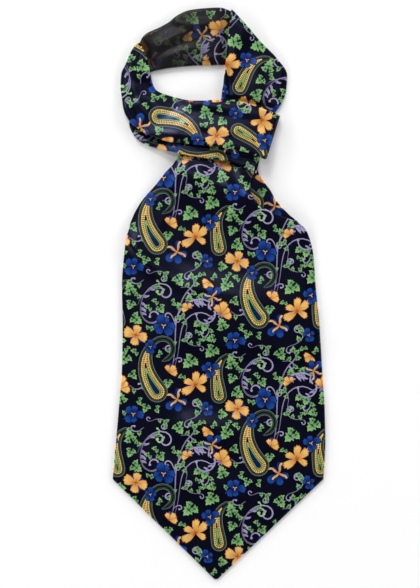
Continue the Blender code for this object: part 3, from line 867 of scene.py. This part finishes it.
def cloth_wall(name, form, top_print, low_print, spacing, material):
    """One closed cloth wall: printed top, rounded edge and printed underside."""
    inset = offset_loop(form.outline, -HEM_INSET * form.base(*form.outline.T)[1])
    seeds = grid_seeds(inset, spacing, form.folds)

    def height(x, y, share):
        below, thick = form.base(x, y)
        ridge = np.maximum(fold_height(x, y, form.folds), THINNEST_WALL - thick)
        raised = np.maximum(ridge, 0.0) if form.hollow else 0.0
        return below + raised + (thick + ridge - raised) * share

    points, normals, faces, tints, spots = [], [], [], [], []

    def add_points(flat, heights, facing):
        first = sum(len(p) for p in points)
        points.append(np.column_stack([flat, heights]))
        normals.append(facing / np.linalg.norm(facing, axis=1)[:, None])
        return first

    def add_faces(corners, colours, places):
        faces.append(corners)
        tints.append(colours)
        spots.append(places)

    extent = inset.max(axis=0) - inset.min(axis=0) + 2 * MAP_MARGIN
    beside = (extent[0], 0.0) if extent[0] < extent[1] else (0.0, extent[1])
    island = {1: MAP_MARGIN - inset.min(axis=0), -1: MAP_MARGIN - inset.min(axis=0) + beside}
    loops = {}
    for side, patches in ((1, top_print), (-1, low_print)):
        flat, corners, owner = triangulate(inset, patches, seeds)
        colours = inks_of(flat[corners], owner, patches)
        loop, sides = border_of(corners, flat, inset[0])
        share = 1.0 if side > 0 else 0.0
        x, y = flat.T
        lean_x = (height(x + SLOPE_STEP, y, share) - height(x - SLOPE_STEP, y, share)) / (2 * SLOPE_STEP)
        lean_y = (height(x, y + SLOPE_STEP, share) - height(x, y - SLOPE_STEP, share)) / (2 * SLOPE_STEP)
        facing = side * np.stack([-lean_x, -lean_y, np.ones_like(x)], axis=1)
        rim = offset_loop(flat[loop], np.ones(len(loop))) - flat[loop]
        facing[loop, :2] += RIM_TILT * rim
        first = add_points(flat, height(x, y, share), facing)
        order = [0, 1, 2] if side > 0 else [2, 1, 0]
        add_faces(corners[:, order] + first, colours[:, order], (flat + island[side])[corners][:, order])
        travel = travelled(flat[np.append(loop, loop[0])])
        both_inks = edge_inks(colours, corners, loop, sides)
        loops[side] = (loop + first, flat[loop], both_inks, travel / travel[-1])

    upper, upper_flat, (ink_here, ink_next), upper_travel = loops[1]
    lower, lower_flat, (low_here, low_next), lower_travel = loops[-1]
    out = offset_loop(upper_flat, np.ones(len(upper))) - upper_flat
    thick = form.base(*upper_flat.T)[1]
    ring, ring_spot = upper, upper_flat
    for rank, (depth, share, tilt) in enumerate(edge_profile(form.layers)):
        ring_flat = offset_loop(upper_flat, (HEM_INSET - depth) * thick)
        facing = np.column_stack([out, np.full(len(out), tilt)])
        first = add_points(ring_flat, height(*upper_flat.T, share), facing)
        below = first + np.arange(len(ring))
        below_spot = upper_flat + out * EDGE_ON_MAP * (rank + 1)
        a, b, c, d = ring, np.roll(ring, -1), below, np.roll(below, -1)
        sa, sc = ring_spot, below_spot
        sb, sd = np.roll(sa, -1, axis=0), np.roll(sc, -1, axis=0)
        add_faces(np.stack([a, c, b], axis=1), np.stack([ink_here, ink_here, ink_next], axis=1),
                  np.stack([sa, sc, sb], axis=1) + island[1])
        add_faces(np.stack([b, c, d], axis=1), np.stack([ink_next, ink_here, ink_next], axis=1),
                  np.stack([sb, sc, sd], axis=1) + island[1])
        ring, ring_spot = below, below_spot
    seam, kinds = stitched(ring, upper_travel, lower, lower_travel)
    spot_of = {int(v): p for v, p in zip(ring, upper_flat + out * 2 * EDGE_ON_MAP)}
    spot_of.update({int(v): p for v, p in zip(lower, lower_flat)})
    seam_spots = np.array([[spot_of[int(v)] for v in triangle] for triangle in seam]) + island[-1]
    ends = ((ink_here, ink_next), (low_here, low_next))
    seam_inks = np.array([(ends[w][0][k], ends[w][0][k], ends[w][1][k]) for w, k in kinds])
    add_faces(seam, seam_inks, seam_spots)

    mesh = cloth_mesh(
        name, np.concatenate(points), np.concatenate(normals), np.concatenate(faces),
        np.concatenate(tints).reshape(-1, 3), np.concatenate(spots) / (extent + beside).max())
    mesh.materials.append(material)
    piece = bpy.data.objects.new(name, mesh)
    bpy.context.scene.collection.objects.link(piece)
    return piece


# The print mixed towards a flat dark grey, more the further left a point lies: a duller print, and painted
# shade where the mix grows to the left.
PrintDimAndShade = namedtuple("PrintDimAndShade", "start end most least")
NO_DIM_OR_SHADE = PrintDimAndShade(-60.0, 60.0, 0.0, 0.0)
DIM_AND_SHADE_GREY = (0.0095, 0.009, 0.0095, 1.0)
WEAVE_SCALE = 900.0
MOTTLE_SCALE = 320.0
BUMP_DEPTH = 0.0002


def wired(tree, node, inputs):
    """The node, with each of its inputs given a value or another node's output."""
    for name, value in inputs.items():
        if isinstance(value, bpy.types.NodeSocket):
            tree.links.new(value, node.inputs[name])
        else:
            node.inputs[name].default_value = value
    return node


def add_node(tree, kind, inputs, **settings):
    """A new shader node with its settings and inputs."""
    node = tree.nodes.new("ShaderNode" + kind)
    for name, value in settings.items():
        setattr(node, name, value)
    return wired(tree, node, inputs)


def silk_material(name, roughness, gloss, tint, dim_and_shade):
    """Printed silk twill with a fine diagonal weave; a flat dark grey mixed into the print dims it, more to
    the left, and paints shade there.
    """
    material = bpy.data.materials.new(name)
    material.use_nodes = True
    tree = material.node_tree
    inks = add_node(tree, "Attribute", {}, attribute_name="print")
    place = add_node(tree, "TexCoord", {}).outputs["Object"]
    mottle = add_node(tree, "TexNoise", {"Vector": place, "Scale": MOTTLE_SCALE, "Detail": 3.0})
    shade = add_node(tree, "MapRange", {"Value": mottle.outputs["Fac"], "To Min": 0.75, "To Max": 1.25})
    dyed = add_node(
        tree, "Mix", {"Factor": 1.0, "A": inks.outputs["Color"], "B": shade.outputs["Result"]},
        data_type="RGBA", blend_type="MULTIPLY")
    sideways = add_node(tree, "SeparateXYZ", {"Vector": place})
    # Share of the dark grey mix by how far left the point lies: painted shade that deepens to the left.
    dim_and_shade_share = add_node(tree, "MapRange", {
        "Value": sideways.outputs["X"], "From Min": dim_and_shade.start * MM, "From Max": dim_and_shade.end * MM,
        "To Min": dim_and_shade.most, "To Max": dim_and_shade.least})
    dimmed_and_shaded = add_node(
        tree, "Mix", {"Factor": dim_and_shade_share.outputs["Result"], "A": dyed.outputs["Result"], "B": DIM_AND_SHADE_GREY},
        data_type="RGBA")
    weave = add_node(
        tree, "TexWave", {"Vector": place, "Scale": WEAVE_SCALE, "Distortion": 0.6},
        wave_type="BANDS", bands_direction="DIAGONAL")
    bump = add_node(tree, "Bump", {
        "Strength": 0.06, "Distance": BUMP_DEPTH, "Height": weave.outputs["Fac"]})
    wired(tree, tree.nodes["Principled BSDF"], {
        "Base Color": dimmed_and_shaded.outputs["Result"], "Roughness": roughness, "Specular IOR Level": gloss,
        "Specular Tint": (*tint, 1.0), "Normal": bump.outputs["Normal"]})
    return material


BACK_BLADE = [Row(*row) for row in (
    (118, -1, 22),
    (105, -14, 18),
    (92, -28, 14.5),
    (80, -38, 13),
    (68, -48, 17),
    (58, -54, 28),
    (50, -57, 42),
    (40, -60, 55),
    (25, -62, 62),
    (0, -63.5, 64),
    (-70, -65, 69),
    (-110, -68, 71),
    (-136, -70.5, 70),
)]
printed_silk = silk_material("printed_silk_twill", 0.36, 0.46, (0.55, 0.58, 1.0), NO_DIM_OR_SHADE)
back_form = blade_form(BACK_BLADE, BACK_POINT, ON_TABLE, [], False)
back_print = print_over(back_form.outline, 0, -30, 20)
back_blade = cloth_wall(
    "back_blade_cloth", back_form, near_edge(back_print, back_form.outline, BACK_EDGE_PRINT),
    broad(back_print), BACK_GRID, printed_silk)
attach(back_blade, "root")
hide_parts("back_blade")

# Front blade
# The wide end that shows, face up: two layers of silk turned in at the hems, gathered under the knot.
# It lies on the back blade, and its hems drop to the table around it.
SEAM = 0.3
NECK_WALL = 2.0
CORNER_Y = -141.0
ON_BACK_BLADE = BLADE_WALL + SEAM
EDGE_PRINT = 5.0
BLADE_GRID = 3.7
FRONT_BLADE = [Row(*row) for row in (
    (122, -9.5, 33, ON_BACK_BLADE, NECK_WALL),
    (113, -20.5, 32, ON_BACK_BLADE, NECK_WALL),
    (105, -30, 30, ON_BACK_BLADE, NECK_WALL),
    (97.5, -35, 28, ON_BACK_BLADE, NECK_WALL),
    (92.5, -40, 27, ON_BACK_BLADE, NECK_WALL),
    (83, -47.5, 24, ON_BACK_BLADE, 1.9),
    (78.5, -51.5, 24, ON_BACK_BLADE, 1.8),
    (74, -55.5, 25.5, ON_BACK_BLADE, 1.7),
    (69.5, -59, 28.5, ON_BACK_BLADE, 1.6),
    (65.5, -61.5, 33, ON_BACK_BLADE, 1.5),
    (61, -64, 41.5, ON_BACK_BLADE),
    (57.5, -65.5, 50.5, ON_BACK_BLADE),
    (54, -67, 59.5, ON_BACK_BLADE),
    (49.5, -68, 65.5, ON_BACK_BLADE),
    (44.5, -69.5, 68, 1.2),
    (37, -71, 70.5, 0.3),
    (28.5, -72, 72),
    (7, -73.5, 73.5),
    (-25, -73, 76.5),
    (-56.5, -73.5, 78.5),
    (-88.5, -76, 80.5),
    (-111.5, -78, 81),
    (CORNER_Y, -80.5, 79.5),
)]
FRONT_BLADE_FOLDS = [Fold(*row) for row in (
    (-27, 100, -30, 66, -3, 9, 0.9, 1.5),
    (-36, 89, -58, 30, 5, 5, 3, 1.1),
    (-13, 97, -14, 30, 2, 3, 5, 1),
    (4, 94, 14, 18, 3, 5, 3, 1.2),
    (15, 92, 27, 54, 3, 2.4, 5, 1.3),
    (28, 60, 50, 0, -3, 5, 8, 0.8),
    (-48, -6, -40, -120, 6, 9, 7, 0.5),
    (36, -20, 44, -130, -6, 8, 11, 0.5),
    (-34, 94, 66, 52, 2, 8, 18, 4.4),
    (-71, 44, -6, 2, -9, 9, 4, 4.2),
    (-34, 2, 66, -16, 4, 12, 28, 4.6),
    (70, -44, -66, -38, -4, 8, 28, 3.6),
    (-34, -100, 44, -116, 3, 11, 12, 3.6),
    (-66, -126, 40, -156, -5, 14, 7, 2.4),
    (-34, 107.6, 20, 96.5, 0.6, 1.4, 1.8, -1.5),
    (28, 95, -24, 105, -0.6, 1.8, 1.4, -1),
    (-28, 101, -42, 66, 4, 1.7, 1.7, -0.9),
)]
front_form = blade_form(FRONT_BLADE, POINT, ON_BACK_BLADE, FRONT_BLADE_FOLDS, True)
front_print = print_over(front_form.outline, 0, 8, 4)
front_blade = cloth_wall(
    "front_blade_cloth", front_form, front_print,
    near_edge(broad(front_print), front_form.outline, EDGE_PRINT), BLADE_GRID, printed_silk)
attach(front_blade, "root")
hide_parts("front_blade")

# Side pleat
# The same blade's silk tucked back beside its neck, one layer lower.
# It shows as a strip between the folded edge and the right side. Bands are made here.
BAND_GRID = 2.5
BAND_STATIONS = 360
LOCATE_AT_ONCE = 2500
LIFT_FROM = 0.3
LIFT_RUN = 0.4
Section = namedtuple("Section", "x1 y1 x2 y2 lift1 lift2 wall", defaults=(ON_TABLE, ON_TABLE, None))


def band_form(sections, wall, folds):
    """A band between two edges; its underside steps from one edge's height to the other's."""
    sections = [s if s.wall else s._replace(wall=wall) for s in sections]
    places = travelled([((s.x1 + s.x2) / 2, (s.y1 + s.y2) / 2) for s in sections])
    at = np.linspace(0.0, places[-1], BAND_STATIONS)
    x1, y1, x2, y2, lift1, lift2, wall = (
        smooth_curve(places, [row[i] for row in sections])(at) for i in range(len(Section._fields)))
    run_x, run_y = x2 - x1, y2 - y1
    length = np.hypot(run_x, run_y)

    def base(x, y):
        below, thick = np.zeros_like(x), np.zeros_like(x)
        for first in range(0, len(x), LOCATE_AT_ONCE):
            part = slice(first, first + LOCATE_AT_ONCE)
            dx, dy = x[part, None] - x1, y[part, None] - y1
            off = (run_x * dy - run_y * dx) / length
            across = (run_x * dx + run_y * dy) / length ** 2
            cost = np.abs(off) + 4 * length * np.maximum(0.0, np.maximum(-across, across - 1.0))
            near = cost.argmin(axis=1)
            rows = np.arange(len(near))
            here = off[rows, near]
            ahead = off[rows, np.minimum(near + 1, BAND_STATIONS - 1)]
            step = np.where(np.sign(ahead) != np.sign(here), 1, -1)
            beside = np.clip(near + step, 0, BAND_STATIONS - 1)
            gap = here - off[rows, beside]
            share = np.clip(np.where(np.abs(gap) > 1e-9, here / np.where(gap == 0, 1.0, gap), 0.0), 0.0, 1.0)

            def mixed(values):
                return values[near] * (1 - share) + values[beside] * share

            place = across[rows, near] * (1 - share) + across[rows, beside] * share
            low, high = mixed(lift1), mixed(lift2)
            below[part] = low + (high - low) * smoothstep((place - LIFT_FROM) / LIFT_RUN)
            thick[part] = mixed(wall)
        return below, thick

    first_edge = evenly(np.stack([x1, y1], axis=1))
    second_edge = evenly(np.stack([x2, y2], axis=1)[::-1])
    far_end = evenly([first_edge[-1], second_edge[0]])
    near_end = evenly([second_edge[-1], first_edge[0]])
    outline = np.concatenate([first_edge[:-1], far_end[:-1], second_edge[:-1], near_end[:-1]])
    if signed_area(outline) < 0:
        outline = outline[::-1]
    return Form(outline, base, folds, False, 2)


def printed_band(name, sections, wall, folds, laid, spacing, material):
    """A band with the print on both sides, laid by its turn and shift."""
    form = band_form(sections, wall, folds)
    patches = print_over(form.outline, *laid)
    return cloth_wall(name, form, patches, broad(patches), spacing, material)


SIDE_PLEAT = [Section(*row) for row in (
    (21.5, 97, 29, 95.5),
    (20.5, 90.5, 31, 90),
    (19, 84, 35, 84),
    (18.5, 78, 39.5, 78),
    (20.5, 71.5, 43, 71.5),
    (25.5, 65.5, 48, 65.5),
    (33, 59.5, 54, 59.5),
    (43.5, 54.5, 60, 54.5),
    (55, 49, 63, 51, ON_TABLE, ON_TABLE, 1),
)]
SIDE_PLEAT_FOLDS = [Fold(*row) for row in (
    (28, 92, 50, 60, -5, 3, 3, 0.5),
)]
side_pleat = printed_band(
    "side_pleat_cloth", SIDE_PLEAT, BLADE_WALL, SIDE_PLEAT_FOLDS, (14, 40, 30), BAND_GRID, printed_silk)
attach(side_pleat, "root")
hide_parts("blade_side_pleat")

# Neckband behind the neck
# The pleated silk band where it turns over, so that its inner face shows, with a satin glow. Its print is
# mixed towards dark grey: a duller inner face all over, and painted shade that grows to the left, where the
# band runs under the left arm.
# It lies on the table, and both arms fold over its ends.
BAND_WALL = 2.6
# Painted shade: the print goes nearly to flat dark grey at the left end, under the left arm; the lighter mix
# to the right is the inner face's duller print.
INNER_DIM_AND_PAINTED_SHADE = PrintDimAndShade(-28.0, -4.0, 0.92, 0.32)
NECK_BACK = [Section(*row) for row in (
    (-60.5, 188.5, -55.5, 166.5),
    (-58.5, 193.5, -50.5, 168.5),
    (-55.5, 197, -44, 170),
    (-46, 201.5, -34, 171.5),
    (-38.5, 205.5, -24, 172.5),
    (-31.5, 211, -15.5, 173),
    (-22.5, 215, -8, 173),
    (-10.5, 216.5, -1.5, 173.5),
    (1, 217, 4.5, 173.5),
    (10.6, 213.8, 8, 174.5),
)]
NECK_BACK_FOLDS = [Fold(*row) for row in (
    (-58, 189, -50, 167, 0, 3.4, 3.4, -2),
    (6, 172, 7, 214, 0, 3.4, 3.4, -1.6),
    (-48, 185.5, -14, 200, 3, 5, 5, 1.5),
    (-44, 177, -1, 186, 4, 3, 6, 1.2),
    (-34, 207, 4, 207, -3, 4, 4, 1.3),
    (-20, 177, 4, 178.5, 1, 3, 3, 0.6),
)]
inner_silk = silk_material("silk_inner_side", 0.33, 0.24, (1.0, 0.95, 0.9), INNER_DIM_AND_PAINTED_SHADE)
neck_back = printed_band(
    "neck_back_cloth", NECK_BACK, BAND_WALL, NECK_BACK_FOLDS, (78, 20, 60), BAND_GRID, inner_silk)
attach(neck_back, "root")
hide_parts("neck_back")

# Right arm
# The neckband folds forward at the top right and comes down under the crossing, face up again.
# Its fold lies on the band behind the neck.
ON_NECKBAND = BAND_WALL + SEAM
NECK_RIGHT = [Section(*row) for row in (
    (5, 173, 9.5, 216, ON_NECKBAND, ON_NECKBAND),
    (5, 169, 20, 204.5, ON_NECKBAND, ON_NECKBAND),
    (4, 164.5, 32, 191, 0.8),
    (3.5, 159, 45, 177.5),
    (2.5, 154, 52, 166),
    (2, 148.5, 51, 153),
    (0.5, 142.5, 47.5, 144),
    (-2.5, 135, 42, 136),
    (-7.5, 122.3, 33, 122.3),
)]
NECK_RIGHT_FOLDS = [Fold(*row) for row in (
    (2, 149, 50, 137.5, 1, 1.5, 1.7, -1.6),
    (48, 138, 6, 148.5, -1, 1.7, 1.5, -0.8),
    (7, 173, 10, 146, 0, 3.2, 3.2, -1.6),
    (50.5, 171, 43.5, 136, 2.6, 1.4, 1.4, -1.2),
    (9, 209, 41, 172, 2, 3, 6, 0.9),
    (8, 176, 14, 146, 2, 4, 3, 0.8),
    (30, 178, 33, 146, -3, 5, 5, 0.6),
)]
neck_right = printed_band(
    "neck_right_cloth", NECK_RIGHT, BAND_WALL, NECK_RIGHT_FOLDS, (-34, 10, 20), BAND_GRID, printed_silk)
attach(neck_right, "root")
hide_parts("neck_right")

# Lower pleat of the crossing band
# A thin roll of the band's silk that slips out below it, over the blade's neck.
# At the left it lies on the table, and it climbs over the blade.
ROLL_WALL = 2.2
ROLL_GRID = 2.2
ON_BLADE_NECK = ON_BACK_BLADE + NECK_WALL + SEAM
WRAP_ROLL = [Section(*row) for row in (
    (-63, 138.5, -66.5, 135, ON_TABLE, ON_TABLE, 1),
    (-62.5, 134.5, -68, 129, ON_TABLE, ON_TABLE, 1.8),
    (-59.5, 130.5, -65, 121),
    (-54.5, 127, -60, 115.5),
    (-46.5, 123.5, -51.5, 111.5, 0.6, 0.3),
    (-37.5, 120.5, -42.5, 109, 2.4, 2),
    (-27.5, 118, -32.5, 106.5, ON_BLADE_NECK, ON_BLADE_NECK),
    (-17, 117, -22, 104.5, ON_BLADE_NECK, ON_BLADE_NECK),
    (-6, 116, -10.5, 102.5, ON_BLADE_NECK, ON_BLADE_NECK),
    (5.5, 114.5, 0, 101, ON_BLADE_NECK, ON_BLADE_NECK),
    (16, 112, 9.5, 99.5, ON_BLADE_NECK, ON_BLADE_NECK),
    (24.5, 109, 17.5, 96, ON_BLADE_NECK, ON_BLADE_NECK),
    (32, 105, 28.5, 91, ON_BLADE_NECK, ON_BLADE_NECK),
)]
WRAP_ROLL_FOLDS = [Fold(*row) for row in (
    (-69, 129, -28, 112.4, -3, 2.4, 1.7, -1.9),
    (-50, 117.6, 20, 105.8, 1.4, 2.4, 1.7, -1.9),
    (38, 98.8, -20, 111.6, 1, 1.7, 2.4, -1.7),
    (-60, 118, 2, 103.5, -3, 2.6, 2.6, 0.8),
    (-6, 104, 28, 94.5, -1, 2.6, 2, 0.9),
)]
wrap_roll = printed_band(
    "wrap_roll_cloth", WRAP_ROLL, ROLL_WALL, WRAP_ROLL_FOLDS, (64, 50, 10), ROLL_GRID, printed_silk)
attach(wrap_roll, "root")
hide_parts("wrap_roll")

# Left arm and crossing band
# One pleated stretch: it folds over the neckband at the upper left, comes down and crosses the throat.
# Its lower edge lies on the roll, and its blunt end hangs over the right arm.
ON_ROLL = ON_BLADE_NECK + ROLL_WALL + SEAM
ON_LOW_ROLL = ROLL_WALL + SEAM
FRONT_WRAP = [Section(*row) for row in (
    (-60, 190, -63, 189, ON_NECKBAND, 1.5),
    (-56, 182.5, -67.5, 182, ON_NECKBAND),
    (-53.5, 175, -70.5, 174.5, ON_NECKBAND),
    (-52, 168, -74, 166.5, ON_NECKBAND),
    (-50.5, 160.5, -74.5, 157.5),
    (-47.5, 154.5, -73.5, 147.5),
    (-40, 151, -72, 139, ON_TABLE, ON_LOW_ROLL),
    (-31, 148.5, -68, 131, ON_TABLE, ON_LOW_ROLL),
    (-22, 146.5, -61.5, 125, ON_TABLE, ON_LOW_ROLL),
    (-12.5, 146, -50.5, 119, ON_NECKBAND, 4),
    (-4.5, 146.5, -36.5, 114.5, ON_NECKBAND, ON_ROLL),
    (5, 146, -18, 112.5, ON_NECKBAND, ON_ROLL),
    (14.5, 145, 1, 110.5, ON_NECKBAND, ON_ROLL),
    (25.5, 142.5, 17.5, 107.5, ON_NECKBAND, ON_ROLL),
    (36, 139, 28.5, 104, ON_NECKBAND, ON_ROLL),
    (44, 136, 34.5, 101.5, ON_NECKBAND, ON_ROLL),
    (47, 135, 36.5, 101, ON_TABLE, ON_TABLE, 4),
)]
FRONT_WRAP_FOLDS = [Fold(*row) for row in (
    (-55, 163, -8, 139, -5, 4, 5.5, -1.6),
    (-70, 150, -52, 122, -3, 1.5, 1.5, -1.1),
    (-62, 181, -24, 139, -9, 3, 5, 1.1),
    (-66, 160, -40, 127, -5, 3.5, 3.5, 0.9),
    (-34, 144, 44, 130, 3, 3, 4, 1),
    (-30, 128, 38, 114, 3, 5, 3, 1),
    (-52, 122, 34, 105, 3, 2.6, 2.6, 0.8),
)]
front_wrap = printed_band(
    "front_wrap_cloth", FRONT_WRAP, BAND_WALL, FRONT_WRAP_FOLDS, (-130, 6.9, -41.6), BAND_GRID, printed_silk)
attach(front_wrap, "root")
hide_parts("front_wrap")
